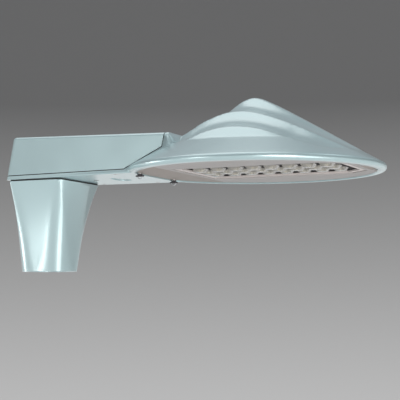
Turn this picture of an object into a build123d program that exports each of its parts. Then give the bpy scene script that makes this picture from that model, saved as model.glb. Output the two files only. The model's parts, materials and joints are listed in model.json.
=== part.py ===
"""Post-top LED street light head: a round stepped shade on a box arm with a flared pole neck.

Millimetres. The origin is the centre of the pole socket's mouth, +Z is up and +X runs along the
arm, from the pole towards the round shade.
"""
from build123d import *
import os
from math import atan2, cos, hypot, radians, sin, sqrt, tan

# Pole socket and neck
POLE_RADIUS = 38.0
SOCKET_CLEARANCE = 1.0
SOCKET_DEPTH = 110.0
NECK_HEIGHT = 160.5
NECK_MOUTH_RADIUS = 49.0
NECK_TOP_BACK = 41.0
NECK_TOP_FRONT = 62.0
NECK_TOP_HALF = 75.0
NECK_TOP_CORNER = 5.0
NECK_WALL = 6.0
NECK_FLANGE = 8.0
CABLE_HOLE_RADIUS = 18.0
SET_SCREW_RADIUS = 4.0
SET_SCREW_HEIGHTS = (28.0, 82.0)
NECK_SEAL = 2.5
NECK_SEAL_INSET = 1.5

# Arm: a box that widens and falls slightly towards the shade
ARM_BACK = 47.5
ARM_RAKE = 11.7
ARM_HALF = 80.8
ARM_FLARE = 0.089
ARM_RISE = 74.6
ARM_FALL = 0.035
ARM_CORNER = 9.0
ARM_TOP_EDGE = 6.0
ARM_FRONT = 286.0
ARM_FRONT_RAKE = 30.0
TRAY_FLOOR = 4.0
TRAY_WALL = 5.0
TRAY_BAND = 7.0
COVER_WALL = 3.0
COVER_GAP = 1.5
PARTING_BEND_X = 200.0
PARTING_SLOPE = 24.6
PARTING_KNEE_X = 274.3
PARTING_FRONT_LEAN = 13.0
SEAL_SETBACK = 1.2

# Shade: a shallow cone with a rounded rim
SHADE_X = 404.0
RIM_RADIUS = 218.5
RIM_ROUND = 6.25
SHADE_PITCH = 28.6
SHADE_WALL = 4.0
DOME_WALL = 9.0
LEDGE_WIDTH = 8.0

# Upper crest lines of the stepped dome, outer one first: each bows round the crown and peaks
# between two straight slopes; the peak's place is where those slopes would meet
CREST_HALF = (72.0, 12.0)
CREST_BOW = (12.0, 0.0)
CREST_PEAK_OFFSET = (-15.7, -6.1)
CREST_PEAK_LIFT = (8.5, 11.7)
CREST_ARM_SLOPE = (0.657, 0.810)
CREST_TIP_SLOPE = (0.532, 0.588)
CREST_BLUNT = (41.1, 14.0)
CREST_SPAN = 165.0
CREST_SINK = 4.0
CROWN_HEIGHT = 1.5
STEP_TOP_RATIO = 2.0
STEP_FOOT_RATIO = 0.45
STEP_LEAD = 0.42

# Lowest crest: it leaves the round low line as a band that swells and closes again, then runs
# straight to a corner, from where a short arc goes round the tip
LOW_RADIUS = 157.5
LOW_START_X = 286.0
LOW_CORNER_X = 499.0
LOW_SINK = 0.8
BAND_WIDTH = 16.6
BAND_STEEPNESS = 0.65
BAND_MIDDLE = 8.0
BAND_HALF_SPAN = 86.0
STEP_CORNER_X = 545.0
STEP_TAPER = 0.165
STEP_TIP_RADIUS = 185.0
STEP_TIP_MARGIN = 2.0
DOME_SKIRT = 60.0
DOME_STATIONS = (
    284.0, 300.0, 314.0, 328.0, 345.0, 365.0, 385.0, 404.0, 424.0,
    446.0, 468.0, 485.0, 499.0, 520.0, 545.0, 570.0, 592.0,
)

# Underside with the lens window
FRAME_THICK = 3.0
FRAME_RECESS = 2.0
FRAME_GAP = 0.5
FRAME_CHORD_X = 212.0
FRAME_SEAL = 1.5
FRAME_SCREW_EDGE = 5.0
FRAME_SCREW_HALF = (70.0, 42.0)
FRAME_SCREW_RADIUS = 2.5
FRAME_SCREW_BITE = 7.0
WINDOW_BACK = 299.0
WINDOW_TIP = 569.0
WINDOW_HALF = 86.0
WINDOW_CHAMFER = 30.0
BEZEL_WIDTH = 11.0
BEZEL_DROP = 1.5
BEZEL_THICK = 1.0
BEZEL_LIP = 7.0
BEZEL_FIT = 0.3
MASK_SEAL = 1.0
MASK_SEAL_WIDTH = 5.0
MASK_SCREW_SIDE_X = (345.0, 500.0)
MASK_SCREW_BACK_HALF = 75.0

# Optics
LED_COLUMNS = 8
LED_ROWS = 3
LED_PITCH_X = 32.0
LED_PITCH_Y = 38.0
LED_MIDDLE_X = 428.0
LED_CHIP = 5.0
LED_CHIP_THICK = 0.9
LED_POCKET = 3.8
LENS_LENGTH = 25.0
LENS_WIDTH = 27.0
LENS_CORNER = 7.0
LENS_TAPER = 35.0
LENS_DROP = 6.5
LENS_SHEET = 1.2
LENS_STRIP = 29.0
LENS_MARGIN = 2.0
BOARD_THICK = 1.6
BOARD_MARGIN = 9.0
SPREADER_THICK = 3.0
SPREADER_MARGIN = 14.0
SPREADER_POST = 5.0
SPREADER_POST_SINK = 3.0
MASK_THICK = 1.0
MASK_FIT = 0.3

# Fasteners
BOLT_FIT = 0.15
NECK_BOLT_RADIUS = 4.0
NECK_BOLT_X = (-20.0, 38.0)
NECK_BOLT_HALF = 56.0
WASHER_THICK = 1.6
SMALL_SCREW_RADIUS = 1.5
SMALL_HEAD_RADIUS = 3.0
SMALL_HEAD = 1.8
COVER_SCREW_X = (72.0, 178.0)
COVER_SCREW_EDGE = 12.0
COVER_SCREW_RADIUS = 2.5
COVER_POST = 5.0
COVER_RIB = 3.0
COVER_SINK = 2.5

# Gear in the arm
GRIP_X = 143.5
GRIP_Y = 4.0
GRIP_LENGTH = 54.0
GRIP_WIDTH = 25.0
GRIP_DEPTH = 1.5
GEAR_TRAY_BACK = 60.0
GEAR_TRAY_FRONT = 180.0
GEAR_TRAY_HALF = 62.0
GEAR_TRAY_THICK = 1.5
GEAR_TRAY_LIP = 6.0
GEAR_POST_HEIGHT = 5.0
GEAR_POST_RADIUS = 4.5
GEAR_POST_EDGE = 7.0
DRIVER_LENGTH = 104.0
DRIVER_WIDTH = 62.0
DRIVER_HEIGHT = 36.0
DRIVER_ROUND = 3.0
DRIVER_FOOT = 2.0
DRIVER_FOOT_REACH = 10.0
DRIVER_FOOT_WIDTH = 30.0
DRIVER_Y = -20.0
SURGE_LENGTH = 46.0
SURGE_WIDTH = 28.0
SURGE_HEIGHT = 28.0
SURGE_Y = 36.0
TERMINAL_X = 42.0
TERMINAL_WAYS = 5
TERMINAL_PITCH = 10.0
TERMINAL_DEPTH = 17.0
TERMINAL_HEIGHT = 19.0
CLAMP_X = -27.0
CLAMP_LENGTH = 40.0
CLAMP_WIDTH = 10.0
CLAMP_HEIGHT = 14.0
CABLE_RADIUS = 5.5
GLAND_X = 238.0
GLAND_RADIUS = 6.0
GLAND_NUT = 9.5
GLAND_BORE = 3.0
VENT_X = 96.0
VENT_RADIUS = 5.0
EARTH_X = -26.0
EARTH_Y = 40.0

# Values that follow from the sizes above
SOCKET_RADIUS = POLE_RADIUS + SOCKET_CLEARANCE
BASE_Z = NECK_HEIGHT + NECK_SEAL
FLOOR_Z = BASE_Z + TRAY_FLOOR
PARTING_Z = BASE_Z + TRAY_BAND
ARM_TOP = BASE_Z + ARM_RISE
SLOPE = tan(radians(SHADE_PITCH))
RIM_CENTRE = RIM_RADIUS - RIM_ROUND
APEX_Z = BASE_Z + RIM_ROUND + RIM_ROUND / cos(radians(SHADE_PITCH)) + SLOPE * RIM_CENTRE
FRAME_Z = BASE_Z + FRAME_RECESS
LEDGE_Z = FRAME_Z + FRAME_THICK + FRAME_SEAL
RECESS_RADIUS = RIM_CENTRE - LEDGE_WIDTH
LIP_TOP = FRAME_Z + FRAME_THICK + BEZEL_THICK
MASK_Z = LIP_TOP + MASK_SEAL
SHEET_Z = MASK_Z + MASK_THICK
BOARD_Z = SHEET_Z + LENS_SHEET
SPREADER_Z = BOARD_Z + BOARD_THICK
SPREADER_TOP = SPREADER_Z + SPREADER_THICK
LED_HALF_X = LED_PITCH_X * (LED_COLUMNS - 1) / 2
LED_HALF_Y = LED_PITCH_Y * (LED_ROWS - 1) / 2
BOARD_HALF_X = LED_HALF_X + LENS_LENGTH / 2 + BOARD_MARGIN
BOARD_HALF_Y = LED_HALF_Y + LENS_WIDTH / 2 + BOARD_MARGIN
SPREADER_HALF_X = BOARD_HALF_X + SPREADER_MARGIN
GEAR_Z = FLOOR_Z + GEAR_POST_HEIGHT
DEVICE_Z = GEAR_Z + GEAR_TRAY_THICK
REACH = 1000.0


def cone_z(x, y):
    """Height of the shade's plain cone over a point."""
    return APEX_Z - SLOPE * hypot(x - SHADE_X, y)


def arm_half(x):
    """Half the arm's width at a place along it."""
    return ARM_HALF + ARM_FLARE * x


def arm_top(x):
    """Height of the arm's top at a place along it."""
    return ARM_TOP - ARM_FALL * x


def rod(x, y, z, radius, height):
    """An upright cylinder that stands on z."""
    return Pos(x, y, z) * Cylinder(radius, height, align=(Align.CENTER, Align.CENTER, Align.MIN))


def slab(x0, x1, y0, y1, z0, z1):
    """A box between two corners."""
    return Pos((x0 + x1) / 2, (y0 + y1) / 2, (z0 + z1) / 2) * Box(x1 - x0, y1 - y0, z1 - z0)


def across(face_points):
    """A side profile, given as (x, z) points, run right across the arm."""
    face = make_face(Plane.XZ * Polyline(face_points, close=True))
    return extrude(face, amount=REACH / 2, both=True)


def group(solids):
    """Like pieces that share one node, kept as separate solids."""
    return Compound(children=list(solids))


def arm_block(inset, floor, front, front_lean=0.0, rounded=True):
    """The arm's outside, or a smaller one inside it, from a floor up to the arm's top."""
    rake = tan(radians(ARM_RAKE))
    top_inset = inset
    back_floor = -ARM_BACK + rake * (floor - BASE_Z) + inset
    back_top = -ARM_BACK + rake * (arm_top(0.0) - BASE_Z) + inset
    lean = front_lean * (arm_top(front) - floor)
    profile = across([
        (back_floor, floor),
        (front + lean, floor),
        (front, arm_top(front) - top_inset),
        (back_top, arm_top(back_top) - top_inset),
    ])
    far = front + abs(lean) + 1.0
    near = -ARM_BACK - 1.0
    outline = make_face(Polyline([
        (near, -arm_half(near) + inset),
        (far, -arm_half(far) + inset),
        (far, arm_half(far) - inset),
        (near, arm_half(near) - inset),
    ], close=True))
    block = profile & extrude(outline, amount=REACH)
    if not rounded:
        return block
    back_edges = [
        edge for edge in block.edges()
        if edge.center().X < 0 and abs(edge.center().Y) > ARM_HALF / 2 and edge.length > TRAY_BAND
        and abs(edge.tangent_at(0.5).Z) > 0.5
    ]
    block = fillet(back_edges, max(ARM_CORNER - inset, 1.0))
    top_edges = [
        edge for edge in block.edges()
        if edge.center().Z > arm_top(front) - top_inset - 1.0 and edge.center().X < front - 1.0
    ]
    return fillet(top_edges, max(ARM_TOP_EDGE - inset, 1.0))


def parting_region(shift, above):
    """Everything on one side of the line where the cover meets the body, set back by shift."""
    knee_z = PARTING_Z + (PARTING_KNEE_X - PARTING_BEND_X) * tan(radians(PARTING_SLOPE))
    top = ARM_TOP + REACH / 25
    front_x = PARTING_KNEE_X + (top - knee_z) * tan(radians(PARTING_FRONT_LEAN))
    line = [(-REACH / 4, PARTING_Z), (PARTING_BEND_X, PARTING_Z), (PARTING_KNEE_X, knee_z), (front_x, top)]
    if above:
        outline = line + [(-REACH / 4, top)]
    else:
        outline = line + [(REACH, top), (REACH, 0.0), (-REACH / 4, 0.0)]
    face = make_face(Polyline(outline, close=True))
    face = offset(face, amount=-shift, kind=Kind.INTERSECTION)
    return extrude(Plane.XZ * face, amount=REACH / 2, both=True)


# Neck

def neck_section(z, inset):
    """The neck's outline at a height: round at the mouth, a rounded oblong at the arm."""
    rise = z / NECK_HEIGHT
    flare = rise ** 2.3
    back = NECK_MOUTH_RADIUS + (NECK_TOP_BACK - NECK_MOUTH_RADIUS) * rise - inset
    front = NECK_MOUTH_RADIUS + (NECK_TOP_FRONT - NECK_MOUTH_RADIUS) * flare - inset
    half = NECK_MOUTH_RADIUS + (NECK_TOP_HALF - NECK_MOUTH_RADIUS) * flare - inset
    largest = min(half, (back + front) / 2) - 0.5
    corner = min(NECK_MOUTH_RADIUS + (NECK_TOP_CORNER - NECK_MOUTH_RADIUS) * rise ** 0.8, largest)
    shape = RectangleRounded(back + front, 2 * half, max(corner - inset, 1.5))
    return Pos((front - back) / 2, 0, z) * shape


def neck_bolt_places():
    """Where the four bolts go down from the arm into the neck."""
    return [(x, y) for x in NECK_BOLT_X for y in (-NECK_BOLT_HALF, NECK_BOLT_HALF)]


def make_neck():
    """Flared neck casting with the pole socket, a hollow above it and a bolting flange."""
    levels = [NECK_HEIGHT * share for share in (0.0, 0.15, 0.35, 0.55, 0.75, 0.9, 1.0)]
    neck = loft([neck_section(z, 0.0) for z in levels])
    hollow_base = SOCKET_DEPTH + NECK_WALL
    hollow_top = NECK_HEIGHT - NECK_FLANGE
    hollow_levels = (hollow_base, (hollow_base + hollow_top) / 2, hollow_top)
    neck -= loft([neck_section(z, NECK_WALL) for z in hollow_levels])
    for x, y in neck_bolt_places():
        neck += rod(x, y, hollow_top - NECK_FLANGE, 2 * NECK_BOLT_RADIUS, NECK_FLANGE)
        neck -= rod(x, y, hollow_base, NECK_BOLT_RADIUS + BOLT_FIT, NECK_HEIGHT)
    neck -= rod(0, 0, 0, SOCKET_RADIUS, SOCKET_DEPTH)
    neck -= rod(0, 0, SOCKET_DEPTH - 1, SOCKET_RADIUS - NECK_WALL, NECK_WALL + 2)
    neck -= rod(0, 0, hollow_top - 1, CABLE_HOLE_RADIUS, NECK_FLANGE + 2)
    for z in SET_SCREW_HEIGHTS:
        neck -= Pos(0, 0, z) * Rot(-90, 0, 0) * rod(0, 0, 0, SET_SCREW_RADIUS + BOLT_FIT, REACH / 4)
    return neck


def make_set_screws():
    """Two grub screws through the far side of the neck, which clamp the pole."""
    length = NECK_MOUTH_RADIUS - SOCKET_RADIUS
    screws = []
    for z in SET_SCREW_HEIGHTS:
        screw = rod(0, 0, SOCKET_RADIUS, SET_SCREW_RADIUS, length)
        screw -= Pos(0, 0, SOCKET_RADIUS + length) * extrude(RegularPolygon(2.3, 6), amount=-5.0)
        screws.append(Pos(0, 0, z) * Rot(-90, 0, 0) * screw)
    return group(screws)


def make_neck_seal():
    """Flat seal between the neck's flange and the arm."""
    outline = extrude(neck_section(NECK_HEIGHT, NECK_SEAL_INSET), amount=NECK_SEAL)
    outline -= rod(0, 0, NECK_HEIGHT - 1, CABLE_HOLE_RADIUS, 4)
    for x, y in neck_bolt_places():
        outline -= rod(x, y, NECK_HEIGHT - 1, NECK_BOLT_RADIUS + BOLT_FIT, 4)
    return outline


def make_neck_bolts():
    """Four socket-head bolts that hold the arm on the neck."""
    head = 2 * NECK_BOLT_RADIUS
    bolts = []
    for x, y in neck_bolt_places():
        bottom = NECK_HEIGHT - 2 * NECK_FLANGE
        seat = FLOOR_Z + WASHER_THICK
        bolt = rod(x, y, bottom, NECK_BOLT_RADIUS, seat - bottom)
        bolt += rod(x, y, seat, 0.8 * head, head)
        bolt -= Pos(x, y, seat + head) * extrude(RegularPolygon(0.85 * NECK_BOLT_RADIUS, 6), amount=-head / 2)
        bolts.append(bolt)
    return group(bolts)


def make_neck_washers():
    """Washers under the neck bolts' heads."""
    return group(
        rod(x, y, FLOOR_Z, 2 * NECK_BOLT_RADIUS, WASHER_THICK)
        - rod(x, y, FLOOR_Z - 1, NECK_BOLT_RADIUS + BOLT_FIT, WASHER_THICK + 2)
        for x, y in neck_bolt_places()
    )


# Stepped dome

def crest_point(index, x):
    """A point (y, z) on the near side's upper crest line, at a place along the arm."""
    run = (x - SHADE_X) / CREST_SPAN
    y = -(CREST_HALF[index] - CREST_BOW[index] * run ** 2)
    along = x - SHADE_X - CREST_PEAK_OFFSET[index]
    peak = APEX_Z + CREST_PEAK_LIFT[index]
    rising = peak + CREST_ARM_SLOPE[index] * along
    falling = peak - CREST_TIP_SLOPE[index] * along
    z = (rising + falling) / 2 - hypot((rising - falling) / 2, CREST_BLUNT[index])
    return y, max(z, cone_z(x, y) - CREST_SINK)


def low_half(x):
    """Half the width of the round low line at a place along the arm."""
    return sqrt(LOW_RADIUS ** 2 - (x - SHADE_X) ** 2)


def band_width(x):
    """How far the lowest crest stands inside the low line: widest beside the crown, none at its ends."""
    run = (x - SHADE_X - BAND_MIDDLE) / BAND_HALF_SPAN
    return max(0.0, BAND_WIDTH * (1 - run ** 2))


def low_crest_point(x):
    """A point (y, z) on the near side's lowest crest line, at a place along the arm."""
    if x > LOW_CORNER_X:
        y = STEP_TAPER * (x - LOW_CORNER_X) - low_half(LOW_CORNER_X)
        return y, cone_z(x, y) - LOW_SINK
    y = band_width(x) - low_half(x)
    return y, cone_z(x, y) - LOW_SINK + BAND_STEEPNESS * band_width(x)


def step_curve(x, start, end):
    """A hollow step: steep under its crest and flattening towards the next one."""
    chord = hypot(end[0] - start[0], end[1] - start[1])
    fall = atan2(start[1] - end[1], abs(end[0] - start[0]))
    lead = STEP_LEAD * chord
    side = 1 if end[0] > start[0] else -1
    top = STEP_TOP_RATIO * fall
    foot = STEP_FOOT_RATIO * fall
    first = (start[0] + side * lead * cos(top), start[1] - lead * sin(top))
    second = (end[0] - side * lead * cos(foot), end[1] + lead * sin(foot))
    points = [start, first, second, end]
    return [(x, y, z) for y, z in points]


def dome_section(x):
    """One closed section across the dome, square to the arm; its outer legs dive under the cone."""
    outer = low_crest_point(x)
    middle, inner = (crest_point(index, x) for index in range(2))
    drop = BAND_STEEPNESS + SLOPE
    leg_y = outer[0] - BAND_WIDTH - LEDGE_WIDTH
    leg_z = outer[1] - drop * (BAND_WIDTH + LEDGE_WIDTH)
    floor = BASE_Z - DOME_SKIRT
    near = [step_curve(x, middle, outer), step_curve(x, inner, middle)]
    edges = [
        Line((x, leg_y, floor), (x, leg_y, leg_z)),
        Line((x, leg_y, leg_z), (x, outer[0], outer[1])),
        Bezier(*reversed(near[0])),
        Bezier(*reversed(near[1])),
        ThreePointArc((x, inner[0], inner[1]), (x, 0.0, inner[1] + CROWN_HEIGHT), (x, -inner[0], inner[1])),
        Bezier(*[(px, -py, pz) for px, py, pz in near[1]]),
        Bezier(*[(px, -py, pz) for px, py, pz in near[0]]),
        Line((x, -outer[0], outer[1]), (x, -leg_y, leg_z)),
        Line((x, -leg_y, leg_z), (x, -leg_y, floor)),
        Line((x, -leg_y, floor), (x, leg_y, floor)),
    ]
    return Face(Wire(edges))


def dome_footprint(side_half):
    """Plan of the stepped dome: a long bowed front, a corner, and a short round tip."""
    corner = (LOW_CORNER_X, low_crest_point(LOW_CORNER_X)[0])
    tip_corner = (STEP_CORNER_X, -sqrt(STEP_TIP_RADIUS ** 2 - (STEP_CORNER_X - SHADE_X) ** 2))
    start = (LOW_START_X, low_crest_point(LOW_START_X)[0])
    half = [
        ThreePointArc(start, (SHADE_X, -side_half), corner),
        Line(corner, tip_corner),
    ]
    other = [
        Line((tip_corner[0], -tip_corner[1]), (corner[0], -corner[1])),
        ThreePointArc((corner[0], -corner[1]), (SHADE_X, side_half), (start[0], -start[1])),
        Line((start[0], -start[1]), start),
    ]
    tip = ThreePointArc(tip_corner, (SHADE_X + STEP_TIP_RADIUS, 0.0), (tip_corner[0], -tip_corner[1]))
    return make_face(Wire(half + [tip] + other))


def dome_prism(side_half):
    """Upright block over one of the dome's plans, from inside the shade upwards."""
    return Pos(0, 0, BASE_Z + 3 * RIM_ROUND) * extrude(dome_footprint(side_half), amount=REACH / 5)


def make_dome():
    """The stepped dome's block, within its plan."""
    block = loft([dome_section(x) for x in DOME_STATIONS])
    return block & dome_prism(LOW_RADIUS + BAND_WIDTH)


# Body

def shade_solid():
    """The shade's plain outside: cone and rounded rim, turned about its axis."""
    pitch = radians(SHADE_PITCH)
    centre_z = BASE_Z + RIM_ROUND
    tangent = (RIM_CENTRE + RIM_ROUND * sin(pitch), centre_z + RIM_ROUND * cos(pitch))
    outermost = (RIM_CENTRE + RIM_ROUND * cos(0.3), centre_z - RIM_ROUND * sin(0.3))
    outline = Wire([
        Line((0, BASE_Z), (RIM_CENTRE, BASE_Z)),
        ThreePointArc((RIM_CENTRE, BASE_Z), outermost, tangent),
        Line(tangent, (0, APEX_Z)),
        Line((0, APEX_Z), (0, BASE_Z)),
    ])
    return Pos(SHADE_X, 0, 0) * revolve(Plane.XZ * make_face(outline), Axis.Z)


def optic_hollow():
    """The closed space under the shade, down to the ledge that the frame's seal meets."""
    inner = RECESS_RADIUS - LEDGE_WIDTH
    drop = SHADE_WALL / cos(radians(SHADE_PITCH))
    deep = DOME_WALL / cos(radians(SHADE_PITCH))
    change = min(STEP_TIP_RADIUS, inner - LEDGE_WIDTH) + STEP_TIP_MARGIN
    outline = Polyline([
        (0, LEDGE_Z),
        (inner, LEDGE_Z),
        (inner, APEX_Z - drop - SLOPE * inner),
        (change, APEX_Z - drop - SLOPE * change),
        (change - SHADE_WALL, APEX_Z - deep - SLOPE * (change - SHADE_WALL)),
        (0, APEX_Z - deep),
    ], close=True)
    space = Pos(SHADE_X, 0, 0) * revolve(Plane.XZ * make_face(outline), Axis.Z)
    return space & slab(FRAME_CHORD_X + LEDGE_WIDTH, REACH, -REACH, REACH, 0, REACH)


def frame_outline(shrink):
    """Plan of the underside frame: a disc with a straight edge towards the arm."""
    disc = Pos(SHADE_X, 0) * Circle(RECESS_RADIUS - shrink)
    return disc & Pos(FRAME_CHORD_X + shrink + REACH / 2, 0) * Rectangle(REACH, REACH)


def window_outline(grow):
    """Plan of the window: an oblong with two corners cut off at the tip, grown by a margin."""
    oblong = Polyline([
        (WINDOW_BACK, -WINDOW_HALF),
        (WINDOW_TIP - WINDOW_CHAMFER, -WINDOW_HALF),
        (WINDOW_TIP, WINDOW_CHAMFER - WINDOW_HALF),
        (WINDOW_TIP, WINDOW_HALF - WINDOW_CHAMFER),
        (WINDOW_TIP - WINDOW_CHAMFER, WINDOW_HALF),
        (WINDOW_BACK, WINDOW_HALF),
    ], close=True)
    face = make_face(oblong)
    return offset(face, amount=grow, kind=Kind.INTERSECTION) if grow else face


def flat(outline, z, thick):
    """A flat plate of one outline that lies at a height."""
    return Pos(0, 0, z) * extrude(outline, amount=thick)


def frame_screw_places():
    """Where the underside frame is screwed to the shade."""
    chord_half, tip_half = FRAME_SCREW_HALF
    tip_x = SHADE_X + sqrt((RECESS_RADIUS - FRAME_SCREW_EDGE) ** 2 - tip_half ** 2)
    places = ((FRAME_CHORD_X + FRAME_SCREW_EDGE, chord_half), (tip_x, tip_half))
    return [(x, side * half) for x, half in places for side in (-1, 1)]


def spreader_screw_places():
    """Where the heat spreader is screwed up to posts under the shade."""
    reach = SPREADER_HALF_X - SPREADER_MARGIN / 2
    return [(LED_MIDDLE_X + end * reach, side * LED_HALF_Y) for end in (-1, 1) for side in (-1, 1)]


def board_screw_places():
    """Where the LED board is screwed to the spreader, clear of the lens strips."""
    half = BOARD_HALF_Y - SMALL_HEAD_RADIUS - BOLT_FIT
    reach = LED_HALF_X / 2
    return [(LED_MIDDLE_X + end * reach, side * half) for end in (-1, 0, 1) for side in (-1, 1)]


def cover_screw_places():
    """Where the cover is held down from under the tray."""
    return [(x, side * (arm_half(x) - COVER_SCREW_EDGE)) for x in COVER_SCREW_X for side in (-1, 1)]


def gear_post_places():
    """Where the gear tray stands on the floor."""
    return [
        (x, side * (GEAR_TRAY_HALF - GEAR_POST_EDGE))
        for x in (GEAR_TRAY_BACK + GEAR_POST_EDGE, GEAR_TRAY_FRONT - GEAR_POST_EDGE) for side in (-1, 1)
    ]


def gland_place():
    """Where the LED lead passes through the shade's wall, with +Z out of that wall."""
    return Pos(GLAND_X, 0, cone_z(GLAND_X, 0)) * Rot(0, -SHADE_PITCH, 0)


def pan_screw(radius, length, head_radius, head):
    """A screw that points up: its head's seat is at zero and its shank goes to length."""
    screw = rod(0, 0, 0, radius, length) + rod(0, 0, -head, head_radius, head)
    screw -= Pos(0, 0, -head) * extrude(RegularPolygon(0.5 * head_radius, 6), amount=0.6 * head)
    return screw


def make_body():
    """Main casting: the arm's tray, the shoulder and the shade with its stepped dome."""
    lean = tan(radians(ARM_FRONT_RAKE))
    arm = arm_block(0.0, BASE_Z, ARM_FRONT, lean) & parting_region(COVER_GAP / 2, above=False)
    arm -= arm_block(TRAY_WALL, FLOOR_Z, PARTING_KNEE_X - TRAY_WALL, rounded=False)
    crest_half = -low_crest_point(SHADE_X)[0]
    rebate = arm_block(0.0, BASE_Z, ARM_FRONT) - arm_block(COVER_WALL + BOLT_FIT, BASE_Z - 1, ARM_FRONT + 1)
    rebate &= parting_region(-COVER_GAP / 2, above=True)
    body = (shade_solid() - dome_prism(crest_half)) + make_dome() - rebate
    body += arm
    body -= optic_hollow()
    body -= flat(frame_outline(0.0), BASE_Z - 1, LEDGE_Z - BASE_Z + 1)
    for x, y in spreader_screw_places():
        body += rod(x, y, SPREADER_TOP, SPREADER_POST, cone_z(x, y) - SPREADER_TOP - DOME_WALL + SPREADER_POST_SINK)
        body -= rod(x, y, SPREADER_TOP - 1, SMALL_SCREW_RADIUS + BOLT_FIT, 6.0)
    for x, y in frame_screw_places():
        body -= rod(x, y, LEDGE_Z - 1, FRAME_SCREW_RADIUS + BOLT_FIT, FRAME_SCREW_BITE + 2)
    for x, y in gear_post_places():
        body += rod(x, y, FLOOR_Z, GEAR_POST_RADIUS, GEAR_POST_HEIGHT)
        body -= rod(x, y, FLOOR_Z + 1, SMALL_SCREW_RADIUS + BOLT_FIT, REACH / 20)
    for x, y in neck_bolt_places():
        body -= rod(x, y, BASE_Z - 1, NECK_BOLT_RADIUS + BOLT_FIT, TRAY_FLOOR + 2)
    for x, y in cover_screw_places():
        body -= rod(x, y, BASE_Z - 1, COVER_SCREW_RADIUS + BOLT_FIT, TRAY_FLOOR + 2)
        body -= rod(x, y, BASE_Z - 1, 2 * COVER_SCREW_RADIUS + BOLT_FIT, COVER_SINK + 1)
    body -= rod(0, 0, BASE_Z - 1, CABLE_HOLE_RADIUS, TRAY_FLOOR + 2)
    body -= rod(VENT_X, 0, BASE_Z - 1, VENT_RADIUS, TRAY_FLOOR + 2)
    body -= rod(EARTH_X, EARTH_Y, FLOOR_Z - 3, SMALL_SCREW_RADIUS + BOLT_FIT, TRAY_FLOOR + 2)
    body -= Pos(GRIP_X, GRIP_Y, BASE_Z) * extrude(SlotOverall(GRIP_LENGTH, GRIP_WIDTH, 90), amount=GRIP_DEPTH)
    body -= gland_place() * rod(0, 0, -3 * DOME_WALL, GLAND_RADIUS + BOLT_FIT, 4 * DOME_WALL)
    return body


def make_cover():
    """The arm's top cover, open below and towards the shoulder, with posts for its screws."""
    low = BASE_Z
    cover = arm_block(0.0, low, ARM_FRONT + REACH / 10) & parting_region(COVER_GAP / 2, above=True)
    cover -= arm_block(COVER_WALL, low - 1, ARM_FRONT + REACH / 5)
    for x, y in cover_screw_places():
        side = 1 if y > 0 else -1
        post = rod(x, y, FLOOR_Z, COVER_POST, arm_top(x) - COVER_WALL / 2 - FLOOR_Z)
        near, far = sorted((y, side * arm_half(x)))
        rib = slab(x - COVER_RIB / 2, x + COVER_RIB / 2, near, far, PARTING_Z + COVER_GAP, arm_top(x))
        cover += post + (rib & arm_block(COVER_WALL / 2, low, ARM_FRONT))
        cover -= rod(x, y, FLOOR_Z - 1, COVER_SCREW_RADIUS + BOLT_FIT, 14.0)
    return cover


def make_cover_gasket():
    """Cord seal that fills the joint between the cover and the body, all the way round."""
    band = parting_region(-COVER_GAP / 2, above=True) & parting_region(-COVER_GAP / 2, above=False)
    ring = arm_block(SEAL_SETBACK, BASE_Z - 1, ARM_FRONT + REACH / 10)
    ring -= arm_block(COVER_WALL, BASE_Z - 2, ARM_FRONT + REACH / 5)
    return band & ring


def make_cover_screws():
    """Four screws up through the tray into the cover's posts."""
    screw = pan_screw(COVER_SCREW_RADIUS, 14.0, 2 * COVER_SCREW_RADIUS, COVER_SINK)
    return group(Pos(x, y, BASE_Z + COVER_SINK) * screw for x, y in cover_screw_places())


# Underside

def make_frame():
    """Flat frame under the shade, with the window's opening."""
    frame = flat(frame_outline(FRAME_GAP), FRAME_Z, FRAME_THICK)
    frame -= flat(window_outline(BEZEL_WIDTH), FRAME_Z - 1, FRAME_THICK + 2)
    for x, y in frame_screw_places():
        frame -= rod(x, y, FRAME_Z - 1, FRAME_SCREW_RADIUS + BOLT_FIT, FRAME_THICK + 2)
    for x, y in mask_screw_places():
        frame -= rod(x, y, FRAME_Z + 1, SMALL_SCREW_RADIUS + BOLT_FIT, FRAME_THICK)
    return frame


def make_frame_gasket():
    """Flat seal on the ledge round the shade's hollow."""
    inner = Pos(SHADE_X, 0) * Circle(RECESS_RADIUS - LEDGE_WIDTH + 1)
    inner &= Pos(FRAME_CHORD_X + LEDGE_WIDTH - 1 + REACH / 2, 0) * Rectangle(REACH, REACH)
    seal = flat(frame_outline(FRAME_GAP) - inner, FRAME_Z + FRAME_THICK, FRAME_SEAL)
    for x, y in frame_screw_places():
        seal -= rod(x, y, FRAME_Z, FRAME_SCREW_RADIUS + BOLT_FIT, REACH / 20)
    return seal


def make_frame_screws():
    """Screws up through the frame, its seal and the shade's ledge."""
    length = FRAME_THICK + FRAME_SEAL + FRAME_SCREW_BITE
    screw = pan_screw(FRAME_SCREW_RADIUS, length, 2 * FRAME_SCREW_RADIUS - 0.5, FRAME_RECESS - 0.2)
    return group(Pos(x, y, FRAME_Z) * screw for x, y in frame_screw_places())


def make_bezel():
    """Pale trim ring that drops into the frame's opening and carries the lens mask."""
    lip = flat(window_outline(BEZEL_WIDTH + BEZEL_LIP), FRAME_Z + FRAME_THICK, BEZEL_THICK)
    drop = flat(window_outline(BEZEL_WIDTH - BEZEL_FIT), FRAME_Z + BEZEL_DROP, FRAME_THICK - BEZEL_DROP)
    ring = (lip + drop) - flat(window_outline(0.0), FRAME_Z, REACH / 20)
    return drill_mask_screws(ring)


def mask_screw_places():
    """Where the mask is screwed down: two places behind the window and two on each side of it."""
    gap = BEZEL_WIDTH + BEZEL_LIP / 2
    back = [(WINDOW_BACK - gap, side * MASK_SCREW_BACK_HALF) for side in (-1, 1)]
    return back + [(x, side * (WINDOW_HALF + gap)) for x in MASK_SCREW_SIDE_X for side in (-1, 1)]


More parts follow.
